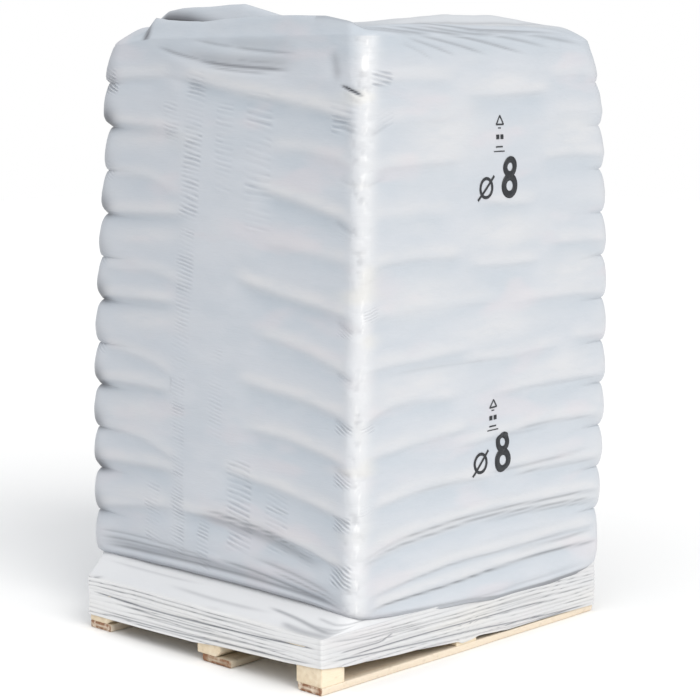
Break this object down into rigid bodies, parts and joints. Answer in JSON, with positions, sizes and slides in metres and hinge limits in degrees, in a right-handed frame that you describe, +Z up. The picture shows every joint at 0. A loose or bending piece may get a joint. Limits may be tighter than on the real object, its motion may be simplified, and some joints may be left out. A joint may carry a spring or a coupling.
{
  "type": "pallet of sacks",
  "caption": "Block pallet stacked with layers of filled plastic sacks under a milky stretch hood gathered round the deck.",
  "frame": {"origin": "middle of the whole load's footprint, on the floor under the pallet", "axes": "+Z up; X along the pallet's long side, Y along its short side; the face with the print looks to -Y"},
  "size_m": [1.2688, 1.1704, 1.866],
  "materials": {
    "planed_pine": "rough sawn pale pine",
    "grey_pine": "weathered sawn pine with waney edge",
    "sack_film": "white polythene sack, slightly wrinkled",
    "hood_film": "milky translucent stretch film, satin gloss"
  },
  "bodies": {
    "root": {"deck_board_1": "planed_pine", "deck_board_2": "planed_pine", "deck_board_3": "planed_pine", "deck_board_4": "planed_pine", "deck_board_5": "planed_pine", "deck_board_6": "planed_pine", "deck_board_7": "planed_pine", "stringer_board_1": "planed_pine", "stringer_board_2": "planed_pine", "stringer_board_3": "planed_pine", "block_11": "planed_pine", "block_12": "planed_pine", "block_13": "planed_pine", "block_21": "planed_pine", "block_22": "planed_pine", "block_23": "planed_pine", "block_31": "planed_pine", "block_32": "planed_pine", "block_33": "planed_pine", "bottom_board_1": "planed_pine", "bottom_board_2": "grey_pine", "bottom_board_3": "planed_pine", "sack_layer_01": "sack_film", "sack_layer_02": "sack_film", "sack_layer_03": "sack_film", "sack_layer_04": "sack_film", "sack_layer_05": "sack_film", "sack_layer_06": "sack_film", "sack_layer_07": "sack_film", "sack_layer_08": "sack_film", "sack_layer_09": "sack_film", "sack_layer_10": "sack_film", "sack_layer_11": "sack_film", "sack_layer_12": "sack_film", "stretch_hood": "hood_film"}
  },
  "joints": []
}
